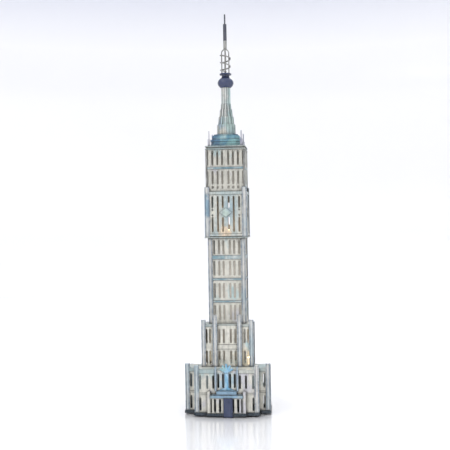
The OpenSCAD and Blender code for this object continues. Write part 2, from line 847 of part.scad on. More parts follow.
// Points of the coil's ring k: a small circle square to the helix.
function coil_ring(k) = let (
        a = 180 + 360 * k / coil_steps,
        z = coil_start + coil_turns * coil_pitch - coil_pitch * k / coil_steps,
        tilt = atan(coil_pitch / (2 * PI * coil_r)))
    [for (i = [0 : coil_sides - 1]) let (
            b = 360 * i / coil_sides,
            u = coil_wire_r * cos(b),
            v = coil_wire_r * sin(b))
        [(coil_r + u) * cos(a) - v * sin(tilt) * sin(a),
         (coil_r + u) * sin(a) + v * sin(tilt) * cos(a),
         z + v * cos(tilt)]];

module lantern_coil() {
    rings = floor(coil_turns * coil_steps);
    n = coil_sides;
    points = [for (k = [0 : rings]) each coil_ring(k)];
    sides = [for (k = [0 : rings - 1], i = [0 : n - 1])
        [k * n + i, k * n + (i + 1) % n, (k + 1) * n + (i + 1) % n, (k + 1) * n + i]];
    ends = [[for (i = [n - 1 : -1 : 0]) i], [for (i = [0 : n - 1]) rings * n + i]];
    color("#8c8c84") translate([0, 0, lantern_z]) polyhedron(points, concat(sides, ends));
}

module spire_sleeve() {
    color("#8f9594") translate([0, 0, sleeve_z]) cylinder(r = spire_r, h = sleeve_h);
}

module spire_tube() {
    color("#3a3d4c") translate([0, 0, sleeve_z + sleeve_h]) cylinder(r = spire_r, h = tube_h);
}

module spire_needle() {
    color("#4a4c58") translate([0, 0, needle_z]) union() {
        cylinder(r = needle_r, h = total_h - needle_z - needle_r);
        translate([0, 0, total_h - needle_z - needle_r]) sphere(needle_r);
    }
}

// ---------- lamps ----------

module lamp() {
    cylinder(r = lamp_flange_r, h = 1);
    cylinder(r = lamp_r - 0.1, h = lamp_len - lamp_r);
    translate([0, 0, lamp_len - lamp_r]) sphere(lamp_r - 0.1);
}

// Two lamps stand on the podium roof and one on the collar's bottom plate.
module lamps() {
    color("#ffd9a0") {
        for (p = [right_lamp_at, left_lamp_at]) translate([p[0], p[1], podium_top]) lamp();
        translate([0, 0, shaft_top + sheet]) lamp();
    }
}

// Straight leads up to the lamps, from the tray's flange and from the middle of the tray.
module lamp_leads() {
    color("#303030") {
        translate([right_lamp_at[0], right_lamp_at[1], base_top + flange_t])
            cylinder(r = lead_r, h = podium_top - base_top - flange_t);
        translate([left_lamp_at[0], left_lamp_at[1], tray_top - tray_wall])
            cylinder(r = lead_r, h = podium_top - tray_top + tray_wall);
        translate([0, 0, tray_top - tray_wall]) cylinder(r = lead_r, h = shaft_top + sheet - tray_top + tray_wall);
    }
}

// ---------- the walls on their four sides ----------

module side(k) {
    rotate(90 * k) children();
}

module podium_wall_front() {
    side(0) podium_facade(podium_half, podium_slots);
}

module podium_wall_right() {
    side(1) wing_side(true);
}

module podium_wall_back() {
    side(2) podium_facade(rear_half, rear_slots);
}

module podium_wall_left() {
    side(3) wing_side(false);
}

module setback_wall_front() {
    color("#dcdccc") union() {
        upright(setback_half - rail, sheet) difference() {
            wall_outline(setback_half - setback_post_w + groove, podium_top, setback_top - sheet);
            for (row = setback_rows) slot_row(setback_slots, row, slot_w - 0.1);
        }
        // band between the window rows of the middle bay
        upright(setback_half - rail + band_t, band_t)
            wall_outline(setback_bay_x - setback_post_w / 2, setback_band[0], setback_band[1]);
    }
}

module setback_wall_right() {
    side(1) setback_side(true);
}

// Two narrow returns that close the setback beside the shaft.
module setback_wall_back() {
    from = shaft_half - rail - sheet;
    to = setback_half - setback_post_w + groove;
    color("#dcdccc") side(2) upright(-rail, sheet) both_sides()
        translate([from, podium_top]) square([to - from, setback_top - sheet - podium_top]);
}

module setback_wall_left() {
    side(3) setback_side(false);
}

module shaft_wall_front() {
    color("#d8d6cb") upright(shaft_half - rail, sheet) difference() {
        wall_outline(shaft_wall_half, setback_top, shaft_top);
        shaft_windows();
    }
}

module shaft_wall_right() {
    side(1) shaft_side(true);
}

// The back of the shaft goes down to the podium. Its windows are narrower.
module shaft_wall_back() {
    color("#d8d6cb") side(2) upright(shaft_half - rail, sheet) difference() {
        wall_outline(shaft_wall_half, podium_top, shaft_top);
        for (row = shaft_rows) slot_row(shaft_rear_slots, row, rear_slot_w);
        for (row = setback_rows) slot_row(shaft_rear_foot_slots, row, rear_slot_w);
    }
}

module shaft_wall_left() {
    side(3) shaft_side(false);
}

module collar_wall_front() {
    side(0) collar_wall();
}

module collar_wall_right() {
    side(1) collar_wall();
}

module collar_wall_back() {
    side(2) collar_wall(rear = true);
}

module collar_wall_left() {
    side(3) collar_wall();
}

module upper_wall_front() {
    side(0) upper_wall();
}

module upper_wall_right() {
    side(1) upper_wall();
}

module upper_wall_back() {
    side(2) upper_wall(upper_rear_slots, rear_slot_w);
}

module upper_wall_left() {
    side(3) upper_wall();
}

// ---------- assembly ----------

base_plate();
foot_pads();
battery_tray();
battery_cells();
battery_contacts();
battery_cover();
base_screws();
switch_body();
switch_slider();
podium_wall_front();
podium_wall_right();
podium_wall_back();
podium_wall_left();
podium_corner_panels();
podium_posts();
podium_roof();
porch_screens();
porch_canopies();
door_panels();
entrance_pier();
entrance_crest();
setback_wall_front();
setback_wall_right();
setback_wall_back();
setback_wall_left();
setback_posts();
setback_roof();
shaft_wall_front();
shaft_wall_right();
shaft_wall_back();
shaft_wall_left();
shaft_corner_posts();
string_courses();
collar_wall_front();
collar_wall_right();
collar_wall_back();
collar_wall_left();
collar_posts();
collar_plates();
upper_wall_front();
upper_wall_right();
upper_wall_back();
upper_wall_left();
upper_corner_rods();
upper_ledges();
cornice_plate();
crown_lower_tier();
crown_upper_tier();
corner_finials();
mast_base();
mast_column();
mast_ball();
mast_neck();
lantern_cage();
lantern_coil();
spire_sleeve();
spire_tube();
spire_needle();
lamps();
lamp_leads();
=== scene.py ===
"""Looks of a miniature landmark tower: painted slotted sheet metal, lit from inside."""
import json
import math
import random

import bpy
import bmesh
from mathutils import Matrix, Vector


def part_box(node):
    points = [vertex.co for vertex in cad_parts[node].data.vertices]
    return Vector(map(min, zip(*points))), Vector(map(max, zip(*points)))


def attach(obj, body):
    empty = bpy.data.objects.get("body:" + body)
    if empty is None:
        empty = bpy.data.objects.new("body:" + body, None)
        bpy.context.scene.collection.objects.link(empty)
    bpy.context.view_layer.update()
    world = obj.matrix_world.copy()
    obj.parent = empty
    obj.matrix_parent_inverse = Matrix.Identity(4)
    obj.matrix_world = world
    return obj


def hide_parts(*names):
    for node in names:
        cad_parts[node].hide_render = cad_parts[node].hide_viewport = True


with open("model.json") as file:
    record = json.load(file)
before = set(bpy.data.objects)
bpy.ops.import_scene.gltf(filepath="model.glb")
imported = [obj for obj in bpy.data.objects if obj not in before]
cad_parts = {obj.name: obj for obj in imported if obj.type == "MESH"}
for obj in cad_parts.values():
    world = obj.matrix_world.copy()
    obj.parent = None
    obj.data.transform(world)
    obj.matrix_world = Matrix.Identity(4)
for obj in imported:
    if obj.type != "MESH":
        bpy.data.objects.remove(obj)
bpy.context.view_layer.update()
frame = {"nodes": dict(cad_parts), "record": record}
MM = 0.001
WHITE, BLACK = (1, 1, 1), (0, 0, 0)

# camera: metres, degrees, and millimetres for the lens and the sensor
CAMERA_DISTANCE, CAMERA_HEIGHT = 0.900, 0.2097
CAMERA_AZIMUTH, CAMERA_HEADING, CAMERA_PITCH, CAMERA_ROLL = 5.03, 5.234, -0.067, -0.896
CAMERA_LENS, CAMERA_SENSOR = 62.85, 36
CAMERA_CLIP = (0.05, 20)

# floor: radii of its flat rings, radius of its curve, height of its wall, and how finely it is cut
FLOOR_RINGS = (0.4, 0.9, 1.6)
FLOOR_CURVE, FLOOR_WALL = 0.8, 2.4
FLOOR_STEPS, FLOOR_AROUND = 12, 96
# colours at shares of the span in height, and shares of polish at distances from the axis
WALL_TINT_SPAN = 1.25
WALL_TINT = ((0.75, (0.93, 0.93, 0.935)), (0.94, (0.68, 0.70, 0.78)))
POLISH = ((0.055, 1.0), (0.075, 0.35), (0.11, 0.12), (0.20, 0.0))
FLOOR_ROUGHNESS, FLOOR_SPECULAR = 0.12, 1.0
POLISH_ROUGHNESS, POLISH_IOR = 0.08, 1.7

# studio light: place and power of each round area light, and the sky
STUDIO_LIGHTS = {"key": ((-0.9, -1.3, 1.3), 8), "fill": ((1.2, -1.2, 0.7), 3),
                 "back": ((0.3, 1.4, 1.4), 5)}
LIGHT_SIZE, LIT_POINT = 0.9, (0, 0, 0.2)
SKY_COLOUR, SKY_STRENGTH = (0.99, 0.99, 1.0, 1), 1.32

# lamps: the right and left one on the podium roof, then the one in the collar
LENS_GLOW = 0.8
LAMP_POWER = (0.004, 0.0014, 0.009)
LAMP_COLOUR, LAMP_SIZE = (1.0, 0.74, 0.48), 1.2 * MM
LAMP_FLANGE = 2.9 * MM
PODIUM_LAMP_RISE, COLLAR_LAMP_RISE = 11 * MM, 2.5 * MM

# weak lights for what reaches the walls' insides: place, power and colour
NEUTRAL, COOL = (1.0, 0.97, 0.93), (0.62, 0.82, 1.0)
INNER_SIZE = 6 * MM
INNER_LIGHTS = (
    ((0, -0.036, 0.034), 0.0022, COOL),
    ((-0.030, -0.022, 0.034), 0.0016, COOL),
    ((0.030, -0.022, 0.034), 0.0016, COOL),
    ((0, -0.010, 0.064), 0.0040, NEUTRAL),
    ((0, -0.010, 0.086), 0.0040, NEUTRAL),
    ((0, 0, 0.106), 0.0085, NEUTRAL),
    ((0, 0, 0.126), 0.0115, NEUTRAL),
    ((0, 0, 0.150), 0.0115, NEUTRAL),
    ((0, 0, 0.174), 0.0105, NEUTRAL),
    ((0, 0, 0.254), 0.0080, NEUTRAL),
    ((0, 0, 0.272), 0.0040, NEUTRAL))

# colours that several paints share
CREAM, AQUA, LILAC = (0.71, 0.69, 0.605), (0.50, 0.62, 0.61), (0.60, 0.59, 0.61)
EDGE = (0.14, 0.145, 0.13)
# painted shade: the colour that the corners and gaps of the enamel are darkened towards
CORNER_SHADE = (0.085, 0.080, 0.070)
HOLLOW = (0.31, 0.295, 0.27)

# noise scales: of the hand-painted enamel, of bare metal, of mouldings and of lenses
WASHES, STREAKS, MOTTLE, WEAR, SHEEN, BRUSH_MARKS, PATCH_BORDER = 48, 520, 210, 160, 300, 900, 180
DRAWN_LINES, DULL_SPOTS, METAL_SHEEN = 700, 120, 260
DUST, MOULD_GRAIN = 90, 2600
LENS_HAZE = 400

# how far from a corner the painted shade reaches, and how noise is drawn out along the height
ENAMEL_SHADE_REACH, METAL_SHADE_REACH = 3.5 * MM, 2 * MM
WASH_STRETCH, STREAK_STRETCH, LINE_STRETCH = (1, 1, 0.6), (1, 1, 0.16), (1, 1, 0.1)
NODE_SAMPLES = 6

# sockets of a Mix node that mixes colours
MIX_FACTOR, MIX_FIRST, MIX_SECOND, MIX_RESULT = 0, 6, 7, 2


def greys(stops):
    """The stops of a ramp with each shade written out as a colour."""
    return [(place, (shade,) * 3) for place, shade in stops]


# ---------- materials ----------

class Paint:
    """A node material, built up step by step."""

    def __init__(self, name):
        self.material = bpy.data.materials.new(name)
        self.material.use_nodes = True
        self.tree = self.material.node_tree
        self.surface = self.tree.nodes["Principled BSDF"]

    def feed(self, socket, value):
        """Links another node's output to the socket, or sets a plain value on it."""
        if isinstance(value, bpy.types.NodeSocket):
            self.tree.links.new(value, socket)
        else:
            socket.default_value = value

    def add(self, kind, inputs=None, **settings):
        node = self.tree.nodes.new("ShaderNode" + kind)
        for key, value in settings.items():
            setattr(node, key, value)
        for key, value in (inputs or {}).items():
            self.feed(node.inputs[key], value)
        return node

    def maths(self, operation, *values):
        return self.add("Math", dict(enumerate(values)), operation=operation).outputs[0]

    def vector_maths(self, operation, *values):
        outputs = self.add("VectorMath", dict(enumerate(values)), operation=operation).outputs
        is_number = operation in ("DISTANCE", "DOT_PRODUCT", "LENGTH")
        return outputs["Value" if is_number else "Vector"]

    def place(self):
        return self.add("TexCoord").outputs["Object"]

    def along(self, axis):
        return self.add("SeparateXYZ", {"Vector": self.place()}).outputs[axis]

    def noise(self, scale, detail, shift=(0, 0, 0), stretch=(1, 1, 1)):
        moved = self.add("Mapping", {"Vector": self.place(), "Location": shift, "Scale": stretch})
        values = {"Vector": moved.outputs[0], "Scale": scale, "Detail": detail}
        return self.add("TexNoise", values).outputs["Fac"]

    def ramp(self, value, stops):
        node = self.add("ValToRGB", {"Fac": value})
        elements = node.color_ramp.elements
        while len(elements) < len(stops):
            elements.new(0.5)
        for element, (position, colour) in zip(elements, stops):
            element.position = position
            element.color = (*colour, 1)
        return node.outputs["Color"]

    def mask(self, value, low, high):
        """0 below low and 1 above high."""
        return self.ramp(value, [(low, BLACK), (high, WHITE)])

    def mix(self, mode, factor, first, second):
        node = self.add("Mix", data_type="RGBA", blend_type=mode)
        self.feed(node.inputs[MIX_FACTOR], factor)
        for socket, colour in ((MIX_FIRST, first), (MIX_SECOND, second)):
            plain = isinstance(colour, tuple)
            self.feed(node.inputs[socket], (*colour, 1) if plain else colour)
        return node.outputs[MIX_RESULT]

    def darken(self, colour, value, low, high, tone):
        """The colour, times the tone where the value is below low and as it is above high."""
        return self.mix("MULTIPLY", 1.0, colour, self.ramp(value, [(low, tone), (high, WHITE)]))

    def gloss(self, value, rough):
        """A roughness that wanders between the two of rough."""
        return self.ramp(value, greys([(0.3, rough[0]), (0.7, rough[1])]))

    def edges(self, radius, low=0.015, high=0.25):
        """1 on the sharp edges of the sheet and 0 on its flats."""
        bevel = self.add("Bevel", {"Radius": radius}, samples=NODE_SAMPLES).outputs[0]
        normal = self.add("NewGeometry").outputs["Normal"]
        dot = self.vector_maths("DOT_PRODUCT", bevel, normal)
        return self.ramp(dot, [(1 - high, WHITE), (1 - low, BLACK)])

    def near(self, point, radius):
        """1 within a quarter or so of the radius and 0 beyond half of it, with an uneven border."""
        away = self.vector_maths("DISTANCE", self.place(), point)
        uneven = self.maths("MULTIPLY", self.noise(PATCH_BORDER, 3), radius)
        reach = self.maths("ADD", away, uneven)
        share = self.maths("MULTIPLY", reach, 1 / radius)
        return self.ramp(share, [(0.75, WHITE), (1.0, BLACK)])

    def beyond(self, distance):
        """1 further than the distance to the left or right of the tower's middle."""
        return self.maths("GREATER_THAN", self.maths("ABSOLUTE", self.along("X")), distance)

    def by_height(self, stops):
        """A grey for each height in metres above the ground, smooth in between."""
        return self.ramp(self.along("Z"), greys(stops))

    # the mask of the painted shade in corners and gaps
    def crevices(self, distance):
        """1 in the corners and gaps and 0 in the open."""
        node = self.add("AmbientOcclusion", {"Distance": distance}, samples=NODE_SAMPLES)
        return self.ramp(node.outputs["AO"], [(0.40, WHITE), (0.92, BLACK)])

    def inner_side(self):
        """1 on faces that look towards the tower's axis and 0 on the others."""
        coordinates = self.add("TexCoord")
        flat = []
        for output in ("Object", "Normal"):
            level = self.vector_maths("MULTIPLY", coordinates.outputs[output], (1, 1, 0))
            flat.append(self.vector_maths("NORMALIZE", level))
        outward = self.vector_maths("DOT_PRODUCT", *flat)
        return self.mask(self.maths("MULTIPLY", outward, -1.0), 0.50, 0.60)

    def finish(self, colour, roughness, bump=None, strength=0, distance=0.2 * MM):
        self.feed(self.surface.inputs["Base Color"], colour)
        self.feed(self.surface.inputs["Roughness"], roughness)
        if bump is not None:
            values = {"Height": bump, "Strength": strength, "Distance": distance}
            self.feed(self.surface.inputs["Normal"], self.add("Bump", values).outputs[0])
        return self.material


def enamel(name, washes, edge_colour, edge=0.0010, edge_range=(0.015, 0.12), corner_shade=CORNER_SHADE,
           patch=WASHES, rough=(0.38, 0.62), hollow=None, patches=(), outer=None, shades=None):
    """Hand-painted enamel: washes of colour, brush streaks, dark edges and painted shade in the
    corners.

    patch is the noise scale of the washes, edge the width of the dark edges in metres, hollow the
    colour of faces that look inwards, and outer a distance from the middle and the colour there.
    """
    paint = Paint(name)
    shift = (len(name) * 0.37, 0.1, 0.2)
    colour = paint.ramp(paint.noise(patch, 4, shift, WASH_STRETCH), washes)
    for point, radius, tone in patches:
        colour = paint.mix("MIX", paint.near(point, radius), colour, tone)
    if outer is not None:
        distance, tone = outer
        colour = paint.mix("MIX", paint.beyond(distance), colour, tone)
    if shades is not None:
        colour = paint.mix("MULTIPLY", 1.0, colour, paint.by_height(shades))
    streaks = paint.noise(STREAKS, 3, shift, STREAK_STRETCH)
    colour = paint.darken(colour, streaks, 0.30, 0.60, (0.80, 0.81, 0.81))
    colour = paint.darken(colour, paint.noise(MOTTLE, 4, shift), 0.34, 0.56, (0.84, 0.84, 0.84))
    worn_spots = paint.mask(paint.noise(WEAR, 3), 0.42, 0.52)
    worn = paint.mix("MIX", worn_spots, (0.55, 0.55, 0.55), WHITE)
    edges = paint.mix("MULTIPLY", 1.0, paint.edges(edge, *edge_range), worn)
    colour = paint.mix("MIX", edges, colour, edge_colour)
    # painted shade: corners and gaps darkened where the ambient occlusion mask finds them
    colour = paint.mix("MIX", paint.crevices(ENAMEL_SHADE_REACH), colour, corner_shade)
    if hollow is not None:
        colour = paint.mix("MIX", paint.inner_side(), colour, hollow)
    gloss = paint.gloss(paint.noise(SHEEN, 2), rough)
    return paint.finish(colour, gloss, paint.noise(BRUSH_MARKS, 3), 0.3)


def bare_metal(name, low, high, metallic, rough, grain=DRAWN_LINES):
    """Plain metal, drawn or turned: fine lines, dull spots and painted shade in the gaps."""
    paint = Paint(name)
    lines = paint.noise(grain, 4, stretch=LINE_STRETCH)
    colour = paint.ramp(lines, [(0.3, low), (0.7, high)])
    colour = paint.darken(colour, paint.noise(DULL_SPOTS, 3), 0.35, 0.6, (0.7, 0.7, 0.7))
    # painted shade: the gaps darkened to a third of the metal's low tone
    colour = paint.mix("MIX", paint.crevices(METAL_SHADE_REACH), colour, tuple(c * 0.35 for c in low))
    paint.surface.inputs["Metallic"].default_value = metallic
    gloss = paint.gloss(paint.noise(METAL_SHEEN, 3), rough)
    return paint.finish(colour, gloss, paint.noise(grain * 2, 2, stretch=LINE_STRETCH), 0.15)


def moulded(name, colour, rough):
    """Moulded plastic or rubber with a fine texture, slightly dusty."""
    paint = Paint(name)
    dust = tuple(min(1, c * 1.5 + 0.015) for c in colour)
    tone = paint.ramp(paint.noise(DUST, 4), [(0.4, colour), (0.75, dust)])
    tone = paint.mix("MIX", paint.edges(0.0004), tone, dust)
    return paint.finish(tone, rough, paint.noise(MOULD_GRAIN, 2), 0.35, 0.1 * MM)


def lit_lens(name):
    """Warm white lens of a lamp that is on."""
    paint = Paint(name)
    colours = [(0.3, (0.95, 0.72, 0.42)), (0.7, (1.0, 0.82, 0.55))]
    colour = paint.ramp(paint.noise(LENS_HAZE, 2), colours)
    paint.surface.inputs["Emission Color"].default_value = (1.0, 0.84, 0.60, 1)
    paint.surface.inputs["Emission Strength"].default_value = LENS_GLOW
    return paint.finish(colour, 0.3)


# A wash is a noise level and its colour, a patch is a point, a radius and a colour, and a shade
# is a height and how much of the colour stays there. Two warm patches are painted lamp glow.
# the corner colour that an enamel is given is painted shade in its corners and gaps
ENAMELS = {
    "wall_paint": dict(
        washes=[(0.34, AQUA), (0.43, CREAM), (0.60, CREAM), (0.68, LILAC)],
        edge_colour=EDGE, hollow=HOLLOW,
        shades=[(0.048, 0.96), (0.056, 1.0), (0.096, 1.0), (0.102, 0.90), (0.20, 0.89),
                (0.26, 0.77)],
        patches=[((0, -0.047, 0.040), 0.028, (0.44, 0.57, 0.63)),
                 # painted warm glow: a pool of the right podium lamp's light on the setback wall
                 ((0.021, -0.029, 0.058), 0.030, (0.80, 0.72, 0.54))]),
    "collar_paint": dict(
        washes=[(0.36, (0.35, 0.45, 0.48)), (0.48, (0.46, 0.52, 0.50)), (0.60, (0.61, 0.60, 0.53))],
        edge_colour=(0.19, 0.21, 0.20), edge=0.0007, hollow=HOLLOW,
        # the first patch is painted warm glow from the collar lamp; the second is the enamel's own
        # colour
        patches=[((0, -0.023, 0.202), 0.016, (0.74, 0.60, 0.44)),
                 ((0, -0.024, 0.2227), 0.010, (0.46, 0.56, 0.50))]),
    "post_paint": dict(
        washes=[(0.36, (0.56, 0.65, 0.67)), (0.50, (0.72, 0.735, 0.715)),
                (0.64, (0.80, 0.78, 0.73))],
        edge_colour=(0.13, 0.19, 0.26), edge=0.0011, edge_range=(0.008, 0.050),
        shades=[(0.100, 1.0), (0.112, 0.80), (0.20, 0.84)],
        patches=[((-0.021, -0.024, 0.230), 0.028, (0.32, 0.47, 0.57))]),
    "roof_paint": dict(
        washes=[(0.36, (0.36, 0.45, 0.45)), (0.60, (0.54, 0.55, 0.50))],
        edge_colour=(0.12, 0.15, 0.14)),
    "band_paint": dict(
        washes=[(0.38, (0.20, 0.31, 0.35)), (0.50, (0.32, 0.42, 0.44)), (0.62, (0.50, 0.54, 0.52))],
        edge_colour=(0.07, 0.11, 0.14), patch=90,
        patches=[((0, -0.050, 0.0245), 0.050, (0.27, 0.42, 0.55))]),
    "entrance_paint": dict(
        washes=[(0.38, (0.17, 0.42, 0.62)), (0.56, (0.42, 0.64, 0.78))],
        edge_colour=(0.06, 0.16, 0.28), patch=150, outer=(0.0108, (0.42, 0.50, 0.56)),
        patches=[((-0.006, -0.0475, 0.053), 0.014, (0.32, 0.54, 0.56))]),
    "crown_paint": dict(
        washes=[(0.36, (0.08, 0.24, 0.36)), (0.48, (0.20, 0.40, 0.46)), (0.62, (0.42, 0.56, 0.56))],
        edge_colour=(0.04, 0.11, 0.17), patch=80,
        patches=[((-0.015, -0.012, 0.304), 0.022, (0.08, 0.17, 0.28)),
                 ((0.010, -0.017, 0.2990), 0.024, (0.24, 0.46, 0.46))]),
    "mast_paint": dict(
        washes=[(0.34, (0.40, 0.54, 0.53)), (0.46, (0.60, 0.63, 0.61)), (0.62, (0.68, 0.65, 0.60))],
        edge_colour=(0.22, 0.25, 0.24), corner_shade=(0.22, 0.24, 0.23), patch=90, edge=0.0007,
        patches=[((-0.006, -0.009, 0.3130), 0.018, (0.72, 0.68, 0.57)),
                 ((-0.005, -0.007, 0.3245), 0.017, (0.36, 0.47, 0.56)),
                 ((0.005, -0.006, 0.3240), 0.022, (0.46, 0.60, 0.56))]),
    "navy_enamel": dict(
        washes=[(0.36, (0.022, 0.034, 0.085)), (0.60, (0.050, 0.065, 0.130))],
        edge_colour=(0.012, 0.015, 0.035), corner_shade=(0.012, 0.013, 0.022), rough=(0.14, 0.26)),
    "base_enamel": dict(
        washes=[(0.36, (0.016, 0.030, 0.046)), (0.60, (0.046, 0.062, 0.076))],
        edge_colour=(0.010, 0.014, 0.020), corner_shade=(0.012, 0.014, 0.018), rough=(0.30, 0.48)),
    "finial_paint": dict(
        washes=[(0.36, (0.33, 0.34, 0.42)), (0.60, (0.52, 0.51, 0.54))],
        edge_colour=(0.30, 0.31, 0.36), edge=0.0003, patch=90),
    "wire_metal": dict(
        washes=[(0.36, (0.16, 0.16, 0.15)), (0.60, (0.34, 0.34, 0.32))],
        edge_colour=(0.08, 0.08, 0.08), edge=0.0004, patch=140, rough=(0.25, 0.45)),
    "slate_metal": dict(
        washes=[(0.36, (0.030, 0.034, 0.050)), (0.60, (0.070, 0.075, 0.100))],
        edge_colour=(0.02, 0.02, 0.03), edge=0.0004, patch=140, rough=(0.25, 0.45)),
}

BARE_METALS = {
    "screw_steel": dict(low=(0.42, 0.42, 0.42), high=(0.62, 0.62, 0.60), metallic=1.0,
                        rough=(0.25, 0.45)),
    "contact_metal": dict(low=(0.52, 0.42, 0.22), high=(0.75, 0.64, 0.38), metallic=1.0,
                          rough=(0.2, 0.4)),
    "cell_jacket": dict(low=(0.30, 0.32, 0.36), high=(0.44, 0.46, 0.50), metallic=0.6,
                        rough=(0.25, 0.4), grain=300),
}

MOULDED = {
    "black_plastic": dict(colour=(0.030, 0.032, 0.040), rough=0.5),
    "grey_plastic": dict(colour=(0.40, 0.41, 0.43), rough=0.5),
    "foot_rubber": dict(colour=(0.035, 0.035, 0.038), rough=0.8),
    "lead_sleeve": dict(colour=(0.05, 0.05, 0.05), rough=0.6),
}


def make_materials():
    """One material for each slot of the record."""
    made = {slot: enamel(slot, **look) for slot, look in ENAMELS.items()}
    made.update((slot, bare_metal(slot, **look)) for slot, look in BARE_METALS.items())
    made.update((slot, moulded(slot, **look)) for slot, look in MOULDED.items())
    made["lamp_lens"] = lit_lens("lamp_lens")
    return made


# ---------- camera, floor and light ----------

def make_camera():
    """A level camera in front of the tower, a little to the right, rolled by under a degree."""
    angles = (CAMERA_AZIMUTH, CAMERA_HEADING, CAMERA_PITCH, CAMERA_ROLL)
    azimuth, heading, pitch, roll = (math.radians(a) for a in angles)
    position = Vector((CAMERA_DISTANCE * math.sin(azimuth), -CAMERA_DISTANCE * math.cos(azimuth),
                       CAMERA_HEIGHT))
    forward = Vector((-math.sin(heading) * math.cos(pitch), math.cos(heading) * math.cos(pitch),
                      math.sin(pitch)))
    right = Vector((math.cos(heading), math.sin(heading), 0))
    up = right.cross(forward)
    x_axis = math.cos(roll) * right + math.sin(roll) * up
    y_axis = math.cos(roll) * up - math.sin(roll) * right
    data = bpy.data.cameras.new("camera")
    data.sensor_width = CAMERA_SENSOR
    data.lens = CAMERA_LENS
    data.clip_start, data.clip_end = CAMERA_CLIP
    camera = bpy.data.objects.new("camera", data)
    rotation = Matrix((x_axis, y_axis, -forward)).transposed().to_4x4()
    camera.matrix_world = Matrix.Translation(position) @ rotation
    bpy.context.collection.objects.link(camera)
    bpy.context.scene.camera = camera


def floor_material():
    """Pale and even, a little lavender high on the wall, and polished where the tower stands."""
    paint = Paint("studio_floor")
    height = paint.maths("MULTIPLY", paint.along("Z"), 1 / WALL_TINT_SPAN)
    level = paint.vector_maths("MULTIPLY", paint.place(), (1, 1, 0))
    polish = paint.ramp(paint.vector_maths("LENGTH", level), greys(POLISH))
    values = {"Specular IOR Level": FLOOR_SPECULAR, "Coat Weight": polish,
              "Coat Roughness": POLISH_ROUGHNESS, "Coat IOR": POLISH_IOR}
    for key, value in values.items():
        paint.feed(paint.surface.inputs[key], value)
    return paint.finish(paint.ramp(height, WALL_TINT), FLOOR_ROUGHNESS)


def floor_profile():
    """Radius and height from the floor's first ring out and up the wall."""
    flat = FLOOR_RINGS[-1]
    profile = [(radius, 0.0) for radius in FLOOR_RINGS]
    for k in range(1, FLOOR_STEPS + 1):
        turn = math.pi / 2 * k / FLOOR_STEPS
        rise = FLOOR_CURVE * (1 - math.cos(turn))
        profile.append((flat + FLOOR_CURVE * math.sin(turn), rise))
    return profile + [(flat + FLOOR_CURVE, FLOOR_WALL)]


def make_floor():
    """A round floor that curves up into a low wall, so that every view has a seamless ground."""
    bm = bmesh.new()
    middle = bm.verts.new((0, 0, 0))
    spokes = []
    for k in range(FLOOR_AROUND):
        angle = 2 * math.pi * k / FLOOR_AROUND
        spokes.append([bm.verts.new((radius * math.cos(angle), radius * math.sin(angle), height))
                       for radius, height in floor_profile()])
    for this, following in zip(spokes, spokes[1:] + spokes[:1]):
        bm.faces.new((middle, following[0], this[0]))
        for k in range(len(this) - 1):
            bm.faces.new((this[k], following[k], following[k + 1], this[k + 1]))
    for face in bm.faces:
        face.smooth = True
    mesh = bpy.data.meshes.new("studio_floor")
    bm.to_mesh(mesh)
    bm.free()
    mesh.materials.append(floor_material())
    floor = bpy.data.objects.new("studio_floor", mesh)
    bpy.context.collection.objects.link(floor)


def add_light(name, kind, place, power, colour):
    """Links a light that the camera can't see."""
    data = bpy.data.lights.new(name, kind)
    data.energy, data.color = power, colour
    light = bpy.data.objects.new(name, data)
    light.location = place
    light.visible_camera = False
    bpy.context.collection.objects.link(light)
    return light


def make_lights():
    """A bright even sky and three soft area lights that face the tower."""
    world = bpy.data.worlds.new("studio")
    world.use_nodes = True
    sky = world.node_tree.nodes["Background"]
    sky.inputs["Color"].default_value = SKY_COLOUR
    sky.inputs["Strength"].default_value = SKY_STRENGTH
    bpy.context.scene.world = world
    for name, (place, power) in STUDIO_LIGHTS.items():
        light = add_light(name, "AREA", place, power, WHITE)
        light.data.shape, light.data.size = "DISK", LIGHT_SIZE
        towards = Vector(LIT_POINT) - Vector(place)
        light.rotation_euler = towards.to_track_quat("-Z", "Y").to_euler()
    bpy.context.scene.view_settings.view_transform = "Standard"


# ---------- pieces ----------

def link_piece(name, bm, material, body, node):
    """Links a bent or wound shape as a piece that stands for a CAD node."""
    mesh = bpy.data.meshes.new(name)
    bmesh.ops.recalc_face_normals(bm, faces=bm.faces)
    bm.to_mesh(mesh)
    bm.free()
    for polygon in mesh.polygons:
        polygon.use_smooth = True
    mesh.materials.append(material)
    piece = bpy.data.objects.new(name, mesh)
    bpy.context.collection.objects.link(piece)
    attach(piece, body)
    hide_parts(node)
    return piece


def tube(bm, points, radius, sides=14):
    """A round wire along the points, with closed ends.

    radius is a number, or a function of the share of the way along.
    """
    points = [Vector(p) for p in points]
    side = None
    rings = []
    for k, point in enumerate(points):
        ahead = points[min(k + 1, len(points) - 1)] - points[max(k - 1, 0)]
        ahead.normalize()
        if side is None:
            side = ahead.orthogonal().normalized()
        side = (side - ahead * side.dot(ahead)).normalized()
        other = ahead.cross(side)
        r = radius(k / (len(points) - 1)) if callable(radius) else radius
        turns = [2 * math.pi * i / sides for i in range(sides)]
        rings.append([bm.verts.new(point + r * (side * math.cos(t) + other * math.sin(t)))
                      for t in turns])
    for low, high in zip(rings, rings[1:]):
        for i in range(sides):
            j = (i + 1) % sides
            bm.faces.new((low[i], low[j], high[j], high[i]))
    bm.faces.new(list(reversed(rings[0])))
    bm.faces.new(rings[-1])


def blob(bm, centre, size, rng):
    """A drop of solder: a small ball, uneven all over."""
    made = bmesh.ops.create_icosphere(bm, subdivisions=2, radius=1)["verts"]
    for vertex in made:
        swell = rng.uniform(0.88, 1.12)
        vertex.co = Vector(centre) + Vector([c * s * swell for c, s in zip(vertex.co, size)])


